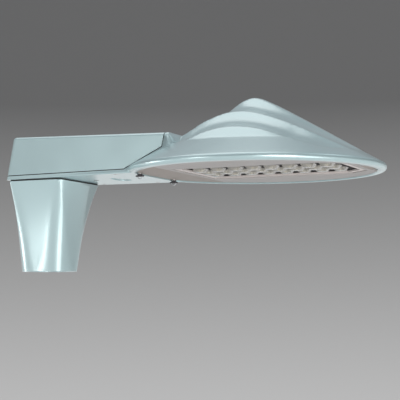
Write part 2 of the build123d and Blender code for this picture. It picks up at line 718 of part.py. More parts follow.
def drill_mask_screws(plate):
    """A plate of the window's stack with the mask screws' holes through it."""
    for x, y in mask_screw_places():
        plate -= rod(x, y, FRAME_Z, SMALL_SCREW_RADIUS + BOLT_FIT, REACH / 20)
    return plate


def make_mask_gasket():
    """Flat seal between the trim ring's lip and the mask."""
    outer = window_outline(BEZEL_WIDTH + BEZEL_LIP)
    inner = window_outline(BEZEL_WIDTH + BEZEL_LIP - MASK_SEAL_WIDTH)
    ring = flat(outer, LIP_TOP, MASK_SEAL) - flat(inner, LIP_TOP - 1, MASK_SEAL + 2)
    return drill_mask_screws(ring)


def make_mask():
    """Dark plate across the window, with an opening for each lens."""
    mask = flat(window_outline(BEZEL_WIDTH + BEZEL_LIP), MASK_Z, MASK_THICK)
    shape = RectangleRounded(LENS_LENGTH + 2 * MASK_FIT, LENS_WIDTH + 2 * MASK_FIT, LENS_CORNER)
    for column in range(LED_COLUMNS):
        for y in led_row_ys():
            mask -= Pos(led_column_x(column), y, MASK_Z - 1) * extrude(shape, amount=MASK_THICK + 2)
    return drill_mask_screws(mask)


def make_mask_screws():
    """Screws down through the mask, its seal and the trim ring into the frame."""
    length = MASK_THICK + MASK_SEAL + BEZEL_THICK + FRAME_THICK - 1.2
    screw = Rot(180, 0, 0) * pan_screw(SMALL_SCREW_RADIUS, length, SMALL_HEAD_RADIUS, SMALL_HEAD)
    return group(Pos(x, y, SHEET_Z) * screw for x, y in mask_screw_places())


# Light engine

def led_column_x(column):
    """Place of one column of LEDs along the arm."""
    return LED_MIDDLE_X - LED_HALF_X + LED_PITCH_X * column


def led_row_ys():
    """Places of the LEDs in one column, across the arm."""
    return [LED_PITCH_Y * row - LED_HALF_Y for row in range(LED_ROWS)]


def make_lens_strip(column):
    """Clear strip with a tapered lens under each LED of one column."""
    x = led_column_x(column)
    half = LED_HALF_Y + LENS_WIDTH / 2 + LENS_MARGIN
    strip = slab(x - LENS_STRIP / 2, x + LENS_STRIP / 2, -half, half, SHEET_Z, SHEET_Z + LENS_SHEET)
    for y in led_row_ys():
        shape = RectangleRounded(LENS_LENGTH, LENS_WIDTH, LENS_CORNER)
        strip += Pos(x, y, SHEET_Z) * extrude(shape, amount=-LENS_DROP, taper=LENS_TAPER)
        strip -= Pos(x, y, BOARD_Z) * Sphere(LED_POCKET)
    return strip


def make_led_chips():
    """All the LED chips, under their board."""
    size = LED_CHIP
    places = [(led_column_x(column), y) for column in range(LED_COLUMNS) for y in led_row_ys()]
    return group(
        slab(x - size / 2, x + size / 2, y - size / 2, y + size / 2, BOARD_Z - LED_CHIP_THICK, BOARD_Z)
        for x, y in places
    )


def make_led_board():
    """Metal-core board of the LEDs."""
    board = Pos(LED_MIDDLE_X, 0) * RectangleRounded(2 * BOARD_HALF_X, 2 * BOARD_HALF_Y, 4.0)
    plate = flat(board, BOARD_Z, BOARD_THICK)
    for x, y in board_screw_places():
        plate -= rod(x, y, BOARD_Z - 1, SMALL_SCREW_RADIUS + BOLT_FIT, 4)
    return plate


def make_board_screws():
    """Screws that hold the board up to the spreader."""
    screw = pan_screw(SMALL_SCREW_RADIUS, BOARD_THICK + SPREADER_THICK, SMALL_HEAD_RADIUS, LENS_SHEET - 0.2)
    return group(Pos(x, y, BOARD_Z) * screw for x, y in board_screw_places())


def make_spreader():
    """Aluminium plate that takes the heat from the board to the shade's posts."""
    plate = flat(
        Pos(LED_MIDDLE_X, 0) * RectangleRounded(2 * SPREADER_HALF_X, 2 * BOARD_HALF_Y, 6.0),
        SPREADER_Z, SPREADER_THICK,
    )
    for x, y in board_screw_places() + spreader_screw_places():
        plate -= rod(x, y, SPREADER_Z - 1, SMALL_SCREW_RADIUS + BOLT_FIT, 6)
    return plate


def make_spreader_screws():
    """Screws that hold the spreader up to the shade's posts."""
    screw = pan_screw(SMALL_SCREW_RADIUS, SPREADER_THICK + 4.5, SMALL_HEAD_RADIUS, SMALL_HEAD)
    return group(Pos(x, y, SPREADER_Z) * screw for x, y in spreader_screw_places())


# Gear in the arm

def make_gear_tray():
    """Folded plate that carries the driver and the surge protector."""
    x0, x1, half = GEAR_TRAY_BACK, GEAR_TRAY_FRONT, GEAR_TRAY_HALF
    tray = slab(x0, x1, -half, half, GEAR_Z, DEVICE_Z)
    for side in (-1, 1):
        edge = side * (half - GEAR_TRAY_THICK / 2)
        tray += slab(x0, x1, edge - GEAR_TRAY_THICK / 2, edge + GEAR_TRAY_THICK / 2, GEAR_Z, DEVICE_Z + GEAR_TRAY_LIP)
    for x, y in gear_post_places():
        tray -= rod(x, y, GEAR_Z - 1, SMALL_SCREW_RADIUS + BOLT_FIT, 4)
    return tray


def make_gear_tray_screws():
    """Screws that hold the gear tray on its posts."""
    screw = Rot(180, 0, 0) * pan_screw(SMALL_SCREW_RADIUS, GEAR_POST_HEIGHT, SMALL_HEAD_RADIUS, SMALL_HEAD)
    return group(Pos(x, y, DEVICE_Z) * screw for x, y in gear_post_places())


def gear_middle():
    """Middle of the gear tray along the arm."""
    return (GEAR_TRAY_BACK + GEAR_TRAY_FRONT) / 2


def driver_screw_reach():
    """How far the driver's screws lie from its middle: halfway along each foot."""
    return (DRIVER_LENGTH - DRIVER_FOOT_REACH) / 2


def make_driver():
    """LED driver: a rounded metal case with a screw foot at each end."""
    x = gear_middle()
    case_length = DRIVER_LENGTH - 2 * DRIVER_FOOT_REACH
    case = Pos(x, DRIVER_Y, DEVICE_Z + DRIVER_HEIGHT / 2) * Box(case_length, DRIVER_WIDTH, DRIVER_HEIGHT)
    case = fillet(case.edges().filter_by(Axis.X), DRIVER_ROUND)
    foot = Pos(x, DRIVER_Y, DEVICE_Z + DRIVER_FOOT / 2) * Box(DRIVER_LENGTH, DRIVER_FOOT_WIDTH, DRIVER_FOOT)
    driver = case + foot
    for end in (-1, 1):
        driver -= rod(x + end * driver_screw_reach(), DRIVER_Y, DEVICE_Z - 1, SMALL_SCREW_RADIUS + BOLT_FIT, 6)
    return driver


def make_driver_screws():
    """Screws through the driver's feet."""
    screw = Rot(180, 0, 0) * pan_screw(SMALL_SCREW_RADIUS, DRIVER_FOOT, SMALL_HEAD_RADIUS, SMALL_HEAD)
    return group(
        Pos(gear_middle() + end * driver_screw_reach(), DRIVER_Y, DEVICE_Z + DRIVER_FOOT) * screw
        for end in (-1, 1)
    )


def make_surge_protector():
    """Surge protector beside the driver."""
    block = Pos(gear_middle(), SURGE_Y, DEVICE_Z + SURGE_HEIGHT / 2) * Box(SURGE_LENGTH, SURGE_WIDTH, SURGE_HEIGHT)
    return fillet(block.edges().filter_by(Axis.Z), DRIVER_ROUND)


def make_terminal_block():
    """Terminal block for the supply cable, with a screw well and a wire mouth for each way."""
    width = TERMINAL_WAYS * TERMINAL_PITCH
    block = Pos(TERMINAL_X, 0, FLOOR_Z + TERMINAL_HEIGHT / 2) * Box(TERMINAL_DEPTH, width, TERMINAL_HEIGHT)
    for way in range(TERMINAL_WAYS):
        y = (way + 0.5) * TERMINAL_PITCH - width / 2
        block -= rod(TERMINAL_X, y, FLOOR_Z + TERMINAL_HEIGHT - 8, 2.6, 10)
        block -= Pos(TERMINAL_X, y, FLOOR_Z + 7) * Rot(0, -90, 0) * rod(0, 0, 2, 2.5, TERMINAL_DEPTH)
    return block


def make_cable_clamp():
    """Saddle that grips the supply cable on the tray."""
    clamp = Pos(CLAMP_X, 0, FLOOR_Z + CLAMP_HEIGHT / 4) * Box(CLAMP_WIDTH, CLAMP_LENGTH, CLAMP_HEIGHT / 2)
    clamp += Pos(CLAMP_X, 0, FLOOR_Z + CLAMP_HEIGHT / 2) * Box(CLAMP_WIDTH, 2.6 * CABLE_RADIUS, CLAMP_HEIGHT)
    return clamp


def make_earth_screw():
    """Earth screw on the tray's floor."""
    screw = Rot(180, 0, 0) * pan_screw(SMALL_SCREW_RADIUS, 2.5, 2 * SMALL_HEAD_RADIUS, 2 * SMALL_HEAD)
    return Pos(EARTH_X, EARTH_Y, FLOOR_Z) * screw


def make_cable_grommet():
    """Rubber sleeve that lines the cable's way from the neck into the tray."""
    sleeve = rod(0, 0, NECK_HEIGHT - NECK_FLANGE, CABLE_HOLE_RADIUS, FLOOR_Z - NECK_HEIGHT + NECK_FLANGE)
    sleeve += rod(0, 0, FLOOR_Z, CABLE_HOLE_RADIUS + 3, 2)
    return sleeve - rod(0, 0, 0, 2 * CABLE_RADIUS, REACH)


def make_bulkhead_gland():
    """Gland where the LED lead goes through the shade's wall."""
    deep = 2 * DOME_WALL
    gland = rod(0, 0, -deep, GLAND_RADIUS, deep) + Pos(0, 0, 0) * extrude(RegularPolygon(GLAND_NUT, 6), amount=6)
    return gland_place() * (gland - rod(0, 0, -deep - 1, GLAND_BORE, 3 * deep))


def make_breather_vent():
    """Vent plug in the tray's floor, with its nut inside."""
    return rod(VENT_X, 0, BASE_Z, VENT_RADIUS, TRAY_FLOOR + 2) + rod(VENT_X, 0, FLOOR_Z, VENT_RADIUS + 2.5, 2)


NODES = {
    "neck_casting": make_neck,
    "neck_gasket": make_neck_seal,
    "neck_bolts": make_neck_bolts,
    "neck_bolt_washers": make_neck_washers,
    "pole_set_screws": make_set_screws,
    "body_casting": make_body,
    "gear_cover": make_cover,
    "cover_gasket": make_cover_gasket,
    "cover_screws": make_cover_screws,
    "optics_frame": make_frame,
    "frame_gasket": make_frame_gasket,
    "frame_screws": make_frame_screws,
    "optics_bezel": make_bezel,
    "mask_gasket": make_mask_gasket,
    "mask_screws": make_mask_screws,
    "led_chips": make_led_chips,
    "led_board": make_led_board,
    "board_screws": make_board_screws,
    "led_spreader": make_spreader,
    "spreader_screws": make_spreader_screws,
    "optics_mask": make_mask,
    "gear_tray": make_gear_tray,
    "gear_tray_screws": make_gear_tray_screws,
    "led_driver": make_driver,
    "driver_screws": make_driver_screws,
    "surge_protector": make_surge_protector,
    "terminal_block": make_terminal_block,
    "cable_clamp": make_cable_clamp,
    "earth_screw": make_earth_screw,
    "cable_grommet": make_cable_grommet,
    "bulkhead_gland": make_bulkhead_gland,
    "breather_vent": make_breather_vent,
}

os.makedirs("parts", exist_ok=True)
for node, make in NODES.items():
    export_step(make(), f"parts/{node}.step")
for column in range(LED_COLUMNS):
    export_step(make_lens_strip(column), f"parts/lens_strip_{column + 1}.step")
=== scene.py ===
"""Looks of a post-top LED street light head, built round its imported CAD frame.

The frame gives every construction piece at its real size, in metres, with +Z up along the pole
and +X along the arm. This script puts smooth-shaded skins over the castings and the lens strips,
adds two thumb screws with their wire loops, sets up a stage, and gives each piece a procedural
finish.
"""
from __future__ import annotations

import json
import logging
import math
from dataclasses import dataclass, field
from enum import Enum

import bmesh
import bpy
from mathutils import Matrix, Vector

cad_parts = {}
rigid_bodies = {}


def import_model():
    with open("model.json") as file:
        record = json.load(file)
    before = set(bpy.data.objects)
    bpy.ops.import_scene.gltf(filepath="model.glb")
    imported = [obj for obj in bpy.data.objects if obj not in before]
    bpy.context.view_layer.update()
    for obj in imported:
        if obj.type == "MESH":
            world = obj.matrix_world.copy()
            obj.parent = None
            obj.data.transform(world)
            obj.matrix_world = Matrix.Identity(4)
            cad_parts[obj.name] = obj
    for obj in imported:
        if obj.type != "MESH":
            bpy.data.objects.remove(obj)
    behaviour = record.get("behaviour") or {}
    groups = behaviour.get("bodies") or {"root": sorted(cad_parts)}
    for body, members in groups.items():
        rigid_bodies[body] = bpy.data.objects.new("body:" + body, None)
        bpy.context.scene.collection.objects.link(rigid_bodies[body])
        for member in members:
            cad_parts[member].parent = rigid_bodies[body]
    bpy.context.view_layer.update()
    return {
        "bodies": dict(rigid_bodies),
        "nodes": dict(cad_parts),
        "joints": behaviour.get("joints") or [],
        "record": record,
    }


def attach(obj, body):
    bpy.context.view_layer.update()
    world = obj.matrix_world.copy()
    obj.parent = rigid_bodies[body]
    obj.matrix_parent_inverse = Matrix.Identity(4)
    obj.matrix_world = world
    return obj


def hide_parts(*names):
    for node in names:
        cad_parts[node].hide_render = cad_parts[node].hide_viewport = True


LOG = logging.getLogger("lamp_head")
MM = 0.001
TINY = 1e-6
WELD_DISTANCE = 2e-6
SKIN_ANGLE = 24.0
PIECE_ANGLE = 30.0
WARM_TINT = (1.0, 0.93, 0.91)

# Sockets of a Mix node that is set to colour; by name they can't be told from its other ones
MIX_FIRST, MIX_SECOND, MIX_RESULT = 6, 7, 2

Colour = tuple[float, ...]


class Slot(Enum):
    """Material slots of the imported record."""

    GREY_PAINT = "grey_paint"
    TAUPE_PAINT = "taupe_paint"
    PALE_TRIM = "pale_trim"
    LENS_PLASTIC = "lens_plastic"
    LED_PHOSPHOR = "led_phosphor"
    BOARD_WHITE = "board_white"
    MASK_PLASTIC = "mask_plastic"
    BLACK_RUBBER = "black_rubber"
    STAINLESS = "stainless"
    ZINC_STEEL = "zinc_steel"
    BARE_ALUMINIUM = "bare_aluminium"
    DRIVER_CASE = "driver_case"
    GEAR_PLASTIC = "gear_plastic"
    TERMINAL_PLASTIC = "terminal_plastic"
    EARTH_BRASS = "earth_brass"


def linear(*levels: float) -> Colour:
    """Turns display levels into linear colour.

    Args:
        levels: Red, green and blue, from 0 to 255.

    Returns:
        The colour, with full alpha.
    """
    shares = [level / 255 for level in levels]
    curve = (s / 12.92 if s <= 0.04045 else ((s + 0.055) / 1.055) ** 2.4 for s in shares)
    return (*curve, 1.0)


def scaled(colour: Colour, share: float, lift: float = 0.0) -> Colour:
    """Makes a darker or lighter kind of a colour.

    Args:
        colour: The colour to start from.
        share: What each of its levels is multiplied by.
        lift: What is added to each level after that.

    Returns:
        The new colour, with full alpha and no level over 1.
    """
    return (*(min(1.0, share * level + lift) for level in colour[:3]), 1.0)


def link(name: str, data: bpy.types.ID) -> bpy.types.Object:
    """Makes an object and puts it in the scene.

    Args:
        name: The object's name.
        data: Its mesh, light or camera.

    Returns:
        The new object.
    """
    item = bpy.data.objects.new(name, data)
    bpy.context.scene.collection.objects.link(item)
    return item


class Graph:
    """Short-hand for building one material's nodes."""

    def __init__(self, name: str) -> None:
        """Starts an empty node material.

        Args:
            name: The material's name.
        """
        self.material = bpy.data.materials.new(name)
        self.material.use_nodes = True
        self.nodes = self.material.node_tree.nodes
        self.links = self.material.node_tree.links
        self.nodes.clear()
        self.output = self.nodes.new("ShaderNodeOutputMaterial")
        self.place = self.nodes.new("ShaderNodeTexCoord").outputs["Object"]

    def add(self, kind: str, inputs: dict | None = None, **settings: object) -> bpy.types.Node:
        """Adds a node.

        Args:
            kind: The node's Blender type.
            inputs: Values or output sockets for its input sockets.
            settings: The node's own properties.

        Returns:
            The new node.
        """
        node = self.nodes.new(kind)
        for key, value in settings.items():
            setattr(node, key, value)
        for key, value in (inputs or {}).items():
            if isinstance(value, bpy.types.NodeSocket):
                self.links.new(value, node.inputs[key])
            else:
                node.inputs[key].default_value = value
        return node

    def noise(self, cells: float, detail: float = 2.0,
              stretch: tuple[float, float, float] | None = None) -> bpy.types.NodeSocket:
        """Adds a noise pattern in object space.

        Args:
            cells: Cells a metre.
            detail: Octaves.
            stretch: Scale along each axis, for a grain.

        Returns:
            The noise's value socket.
        """
        place = self.place
        if stretch:
            inputs = {"Vector": place, "Scale": stretch}
            place = self.add("ShaderNodeMapping", inputs).outputs["Vector"]
        inputs = {"Vector": place, "Scale": cells, "Detail": detail}
        return self.add("ShaderNodeTexNoise", inputs).outputs["Fac"]

    def span(self, value: bpy.types.NodeSocket, low: float, high: float) -> bpy.types.NodeSocket:
        """Maps the middle half of a 0 to 1 pattern to a range.

        Args:
            value: The socket to map.
            low: Result at 0.25.
            high: Result at 0.75.

        Returns:
            The mapped socket.
        """
        inputs = {"Value": value, "From Min": 0.25, "From Max": 0.75, "To Min": low, "To Max": high}
        return self.add("ShaderNodeMapRange", inputs).outputs["Result"]

    def blend(self, share: bpy.types.NodeSocket, first: Colour | bpy.types.NodeSocket,
              second: Colour) -> bpy.types.NodeSocket:
        """Mixes two colours.

        Args:
            share: How much of the second colour goes in, 0 to 1.
            first: A colour or a colour socket.
            second: A colour.

        Returns:
            The mixed colour's socket.
        """
        inputs = {"Factor": share, MIX_FIRST: first, MIX_SECOND: second}
        return self.add("ShaderNodeMix", inputs, data_type="RGBA").outputs[MIX_RESULT]

    def maths(self, operation: str, *values: float | bpy.types.NodeSocket) -> bpy.types.NodeSocket:
        """Adds a sum.

        Args:
            operation: The Math node's operation.
            values: Its numbers or sockets, in order.

        Returns:
            The result's socket.
        """
        inputs = dict(enumerate(values))
        return self.add("ShaderNodeMath", inputs, operation=operation).outputs[0]

    def axis(self, name: str) -> bpy.types.NodeSocket:
        """Returns the socket of one coordinate in object space.

        Args:
            name: X, Y or Z.

        Returns:
            The coordinate's socket.
        """
        return self.add("ShaderNodeSeparateXYZ", {"Vector": self.place}).outputs[name]

    def bump(self, height: bpy.types.NodeSocket, depth: float,
             edge: float = 0.0) -> bpy.types.NodeSocket:
        """Makes a normal from a height pattern.

        Args:
            height: The height, 0 to 1.
            depth: Its full depth in metres.
            edge: Radius that rounds sharp edges in the shading, in metres.

        Returns:
            The normal socket.
        """
        inputs: dict = {"Height": height, "Distance": depth, "Strength": 1.0}
        if edge:
            rounded = self.add("ShaderNodeBevel", {"Radius": edge}, samples=4)
            inputs["Normal"] = rounded.outputs["Normal"]
        return self.add("ShaderNodeBump", inputs).outputs["Normal"]

    def close(self, shader: bpy.types.NodeSocket) -> bpy.types.Material:
        """Links the last shader to the output.

        Args:
            shader: The shader's socket.

        Returns:
            The finished material.
        """
        self.links.new(shader, self.output.inputs["Surface"])
        return self.material

    def principled(self, inputs: dict) -> bpy.types.Material:
        """Ends the graph with a Principled shader.

        Args:
            inputs: Values or output sockets for the shader's sockets.

        Returns:
            The finished material.
        """
        return self.close(self.add("ShaderNodeBsdfPrincipled", inputs).outputs["BSDF"])


@dataclass(frozen=True)
class PaintFinish:
    """Powder coat: an even colour with metal flake, a fine orange peel and slightly cloudy gloss.

    A pad of another colour can lie across the piece, between two places along the arm.
    """

    name: str
    slot: Slot
    colour: Colour
    roughness: float = 0.38
    gloss_cells: float = 26.0
    gloss_swing: float = 0.03
    flake: float = 0.0
    peel_cells: float = 420.0
    peel_depth: float = 0.000012
    cloud: float = 0.05
    cloud_cells: float = 9.0
    edge: float = 0.0005
    coat: float = 0.0
    coat_roughness: float = 0.2
    pad_colour: Colour | None = None
    pad_middle_x: float = 0.435
    pad_half_x: float = 0.154

    def build(self) -> bpy.types.Material:
        """Makes the finish.

        Returns:
            The node material.
        """
        graph = Graph(self.name)
        cloudy = graph.noise(self.cloud_cells, 4.0)
        colour = graph.blend(cloudy, self.colour, scaled(self.colour, 1 - self.cloud))
        if self.pad_colour:
            inside = graph.maths("COMPARE", graph.axis("X"), self.pad_middle_x, self.pad_half_x)
            colour = graph.blend(inside, colour, self.pad_colour)
        gloss = graph.noise(self.gloss_cells, 3.0)
        low, high = self.roughness - self.gloss_swing, self.roughness + self.gloss_swing
        return graph.principled({
            "Base Color": colour,
            "Roughness": graph.span(gloss, low, high),
            "Normal": graph.bump(graph.noise(self.peel_cells), self.peel_depth, self.edge),
            "Metallic": self.flake,
            "Coat Weight": self.coat,
            "Coat Roughness": self.coat_roughness,
        })


@dataclass(frozen=True)
class MetalFinish:
    """Bare metal with a drawn or brushed grain."""

    name: str
    slot: Slot
    colour: Colour
    roughness: float = 0.32
    smoother: float = 0.08
    rougher: float = 0.1
    grain: tuple[float, float, float] = (1.0, 12.0, 12.0)
    grain_cells: float = 300.0
    grain_depth: float = 0.00001
    stain: float = 0.8
    stain_cells: float = 40.0

    def build(self) -> bpy.types.Material:
        """Makes the finish.

        Returns:
            The node material.
        """
        graph = Graph(self.name)
        grain = graph.noise(self.grain_cells, 3.0, self.grain)
        stains = graph.noise(self.stain_cells)
        low, high = self.roughness - self.smoother, self.roughness + self.rougher
        return graph.principled({
            "Base Color": graph.blend(stains, self.colour, scaled(self.colour, self.stain)),
            "Roughness": graph.span(grain, low, high),
            "Normal": graph.bump(grain, self.grain_depth),
            "Metallic": 1.0,
        })


@dataclass(frozen=True)
class PlasticFinish:
    """Moulded plastic or rubber with a fine spark-eroded texture."""

    name: str
    slot: Slot
    colour: Colour
    roughness: float = 0.55
    smoother: float = 0.06
    rougher: float = 0.08
    specular: float = 0.5
    texture_cells: float = 1600.0
    texture_depth: float = 0.00002
    bloom: float = 1.15
    bloom_lift: float = 0.004
    bloom_cells: float = 60.0

    def build(self) -> bpy.types.Material:
        """Makes the finish.

        Returns:
            The node material.
        """
        graph = Graph(self.name)
        texture = graph.noise(self.texture_cells, 3.0)
        bloom = graph.noise(self.bloom_cells, 3.0)
        lighter = scaled(self.colour, self.bloom, self.bloom_lift)
        low, high = self.roughness - self.smoother, self.roughness + self.rougher
        return graph.principled({
            "Base Color": graph.blend(bloom, self.colour, lighter),
            "Roughness": graph.span(texture, low, high),
            "Normal": graph.bump(texture, self.texture_depth),
            "Specular IOR Level": self.specular,
        })


@dataclass(frozen=True)
class LensFinish:
    """Clear moulded optics: partly see-through and glossy, with a slight ripple."""

    name: str
    slot: Slot
    colour: Colour
    roughness: float = 0.04
    clear: float = 0.6
    refraction: float = 1.49
    ripple_cells: float = 240.0
    ripple_depth: float = 0.0008

    def build(self) -> bpy.types.Material:
        """Makes the finish.

        Returns:
            The node material.
        """
        graph = Graph(self.name)
        return graph.principled({
            "Base Color": self.colour,
            "Roughness": self.roughness,
            "IOR": self.refraction,
            "Transmission Weight": self.clear,
            "Normal": graph.bump(graph.noise(self.ripple_cells, 1.0), self.ripple_depth),
        })


FINISHES = (
    PaintFinish("sea_grey_powder_coat", Slot.GREY_PAINT, linear(183, 209, 212),
                roughness=0.31, flake=0.55, coat=0.5),
    PaintFinish("taupe_frame_coat", Slot.TAUPE_PAINT, linear(162, 154, 147),
                roughness=0.55, pad_colour=linear(186, 184, 182)),
    PlasticFinish("pale_trim_moulding", Slot.PALE_TRIM, linear(226, 220, 216), roughness=0.45),
    LensFinish("clear_lens_moulding", Slot.LENS_PLASTIC, linear(244, 243, 232)),
    PlasticFinish("led_phosphor", Slot.LED_PHOSPHOR, linear(226, 200, 110), roughness=0.4),
    PlasticFinish("white_solder_mask", Slot.BOARD_WHITE, linear(214, 214, 210), roughness=0.35),
    PlasticFinish("dark_mask_moulding", Slot.MASK_PLASTIC, linear(34, 30, 30),
                  roughness=0.7, specular=0.12),
    PlasticFinish("black_seal_rubber", Slot.BLACK_RUBBER, linear(38, 38, 38), roughness=0.75),
    MetalFinish("stainless_screws", Slot.STAINLESS, linear(190, 190, 190), roughness=0.28),
    MetalFinish("zinc_plate", Slot.ZINC_STEEL, linear(200, 202, 205), roughness=0.4),
    MetalFinish("mill_aluminium", Slot.BARE_ALUMINIUM, linear(206, 208, 210), roughness=0.38),
    PaintFinish("driver_case_coat", Slot.DRIVER_CASE, linear(216, 218, 220), roughness=0.42),
    PlasticFinish("black_gear_moulding", Slot.GEAR_PLASTIC, linear(52, 52, 56)),
    PlasticFinish("grey_terminal_moulding", Slot.TERMINAL_PLASTIC, linear(205, 204, 198)),
    MetalFinish("earth_brass", Slot.EARTH_BRASS, linear(214, 184, 110), roughness=0.3),
)


class Workshop:
    def __init__(self, frame: dict) -> None:
        """Builds every finish once.
        """
        rows = frame["record"]["subparts"]
        self.nodes: dict[str, bpy.types.Object] = frame["nodes"]
        self.slots = {row["node"]: Slot(row["material_slot"]) for row in rows}
        self.materials = {finish.slot: finish.build() for finish in FINISHES}

    def finish_node(self, name: str) -> None:
        """Gives a CAD node that stays in view its procedural finish.

        Args:
            name: The node's name.
        """
        mesh = self.nodes[name].data
        mesh.materials.clear()
        mesh.materials.append(self.materials[self.slots[name]])
        LOG.info("finished node %s", name)

    def ship(self, piece: bpy.types.Object, slot: Slot, *replaced: str) -> None:
        """Finishes a new piece, ties it to the frame and reports it.

        Args:
            piece: The piece, with its place in its mesh.
            slot: The material slot that it takes its finish from.
            replaced: CAD nodes that it stands for.
        """
        piece.data.materials.clear()
        piece.data.materials.append(self.materials[slot])
        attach(piece, "root")
        if replaced:
            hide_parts(*replaced)
        LOG.info("made %s with %d faces", piece.name, len(piece.data.polygons))

    def piece(self, name: str, mesh: bmesh.types.BMesh,
              smooth: float = PIECE_ANGLE) -> bpy.types.Object:
        """Turns a bmesh into a smooth-shaded object in the scene.

        Args:
            name: The piece's name.
            mesh: Its mesh, which is freed.
            smooth: Angle in degrees under which faces shade as one surface.

        Returns:
            The new object.
        """
        data = bpy.data.meshes.new(name)
        mesh.to_mesh(data)
        mesh.free()
        data.shade_smooth()
        data.set_sharp_from_angle(angle=math.radians(smooth))
        return link(name, data)

    def welded(self, node: str) -> bmesh.types.BMesh:
        """Copies a CAD node's mesh, merged to one surface.

        Args:
            node: The CAD node to copy.

        Returns:
            The merged copy.
        """
        mesh = bmesh.new()
        mesh.from_mesh(self.nodes[node].data)
        bmesh.ops.remove_doubles(mesh, verts=mesh.verts, dist=WELD_DISTANCE)
        bmesh.ops.dissolve_degenerate(mesh, edges=mesh.edges, dist=TINY)
        return mesh


@dataclass
class Castings:
    """The neck, the body and the cover, as smooth skins over their CAD nodes.

    Lengths are in metres. The dome's numbers say where it lies and how its skin is blended, and
    the neck's say how far its flat sides shade as crowned.
    """

    shop: Workshop
    skins: dict[str, str] = field(default_factory=lambda: {
        "neck_casting": "neck_skin",
        "body_casting": "body_skin",
        "gear_cover": "cover_skin",
    })
    shade_middle: tuple[float, float] = (0.404, 0.0)
    rim_clear: float = 0.192
    dome_foot: float = 0.1745
    dome_back: float = 0.3
    least_rise: float = 0.15
    longest_edge: float = 0.006
    splits: int = 3
    arm_end_x: float = 0.32
    tip_end_x: float = 0.54
    dome_rounds: int = 1
    end_rounds: int = 5
    pull: float = 0.5
    neck_middle: tuple[float, float] = (0.005, 0.0)
    neck_half: float = 0.045
    crown_power: int = 3
    crown_share: float = 0.65
    least_flat: float = 0.6

    def on_dome(self, vert: bmesh.types.BMVert) -> bool:
        """Says whether a vertex lies on the outside of the stepped dome.

        Args:
            vert: A vertex of the body.

        Returns:
            True if it does, and faces up.
        """
        reach = (vert.co.xy - Vector(self.shade_middle)).length
        inside = reach < self.rim_clear and vert.co.x > self.dome_back
        return inside and vert.co.z > self.dome_foot and vert.normal.z > self.least_rise

    def soften_dome(self, mesh: bmesh.types.BMesh) -> None:
        """Blends the ends of the dome's steps into the shade, as the pattern maker's fillets do.

        Args:
            mesh: The body's welded mesh.
        """
        mesh.normal_update()
        for _ in range(self.splits):
            dome = {vert for vert in mesh.verts if self.on_dome(vert)}
            long_edges = [edge for edge in mesh.edges
                          if edge.calc_length() > self.longest_edge and dome.issuperset(edge.verts)]
            bmesh.ops.subdivide_edges(mesh, edges=long_edges, cuts=1)
            wide_faces = [face for face in mesh.faces if len(face.verts) > 4]
            bmesh.ops.triangulate(mesh, faces=wide_faces)
            mesh.normal_update()
        dome = [vert for vert in mesh.verts if self.on_dome(vert)]
        ends = [vert for vert in dome if not self.arm_end_x <= vert.co.x <= self.tip_end_x]
        for verts, rounds in ((dome, self.dome_rounds), (ends, self.end_rounds)):
            for _ in range(rounds):
                bmesh.ops.smooth_vert(mesh, verts=verts, factor=self.pull,
                                      use_axis_x=True, use_axis_y=True, use_axis_z=True)

    def crown(self, neck: bpy.types.Object) -> None:
        """Tilts the shading of the neck's sides, so that each side shades as gently crowned.

        Args:
            neck: The neck's skin.
        """
        mesh = neck.data
        normals = [Vector(corner.vector) for corner in mesh.corner_normals]
        for loop, normal in zip(mesh.loops, normals):
            offset = mesh.vertices[loop.vertex_index].co.xy - Vector(self.neck_middle)
            pulls = [math.copysign(abs(side / self.neck_half) ** self.crown_power, side)
                     for side in offset]
            crowned = Vector((*pulls, 0.0))
            flat = Vector((normal.x, normal.y, 0.0))
            if flat.length < self.least_flat or crowned.length < TINY or flat.dot(crowned) <= 0:
                continue
            mixed = flat.normalized().lerp(crowned.normalized(), self.crown_share)
            mixed = mixed.normalized() * flat.length
            normal.x, normal.y = mixed.x, mixed.y
            normal.normalize()
        mesh.normals_split_custom_set(normals)

    def build(self) -> None:
        """Copies each casting and replaces its node."""
        for node, name in self.skins.items():
            mesh = self.shop.welded(node)
            if node == "body_casting":
                self.soften_dome(mesh)
            skin = self.shop.piece(name, mesh, SKIN_ANGLE)
            if node == "neck_casting":
                self.crown(skin)
            else:
                weighted = skin.modifiers.new("flat_faces", "WEIGHTED_NORMAL")
                weighted.mode, weighted.keep_sharp = "FACE_AREA", True
            self.shop.ship(skin, self.shop.slots[node], node)


@dataclass
class Lenses:
    """Eight clear strips, each with a tapered lens under every LED of its column."""

    shop: Workshop
    columns: int = 8

    def build(self) -> None:
        """Copies each strip with smooth shading and replaces its node."""
        for column in range(1, self.columns + 1):
            node = f"lens_strip_{column}"
            mesh = self.shop.welded(node)
            skin = self.shop.piece(f"lens_strip_skin_{column}", mesh, SKIN_ANGLE)
            self.shop.ship(skin, Slot.LENS_PLASTIC, node)


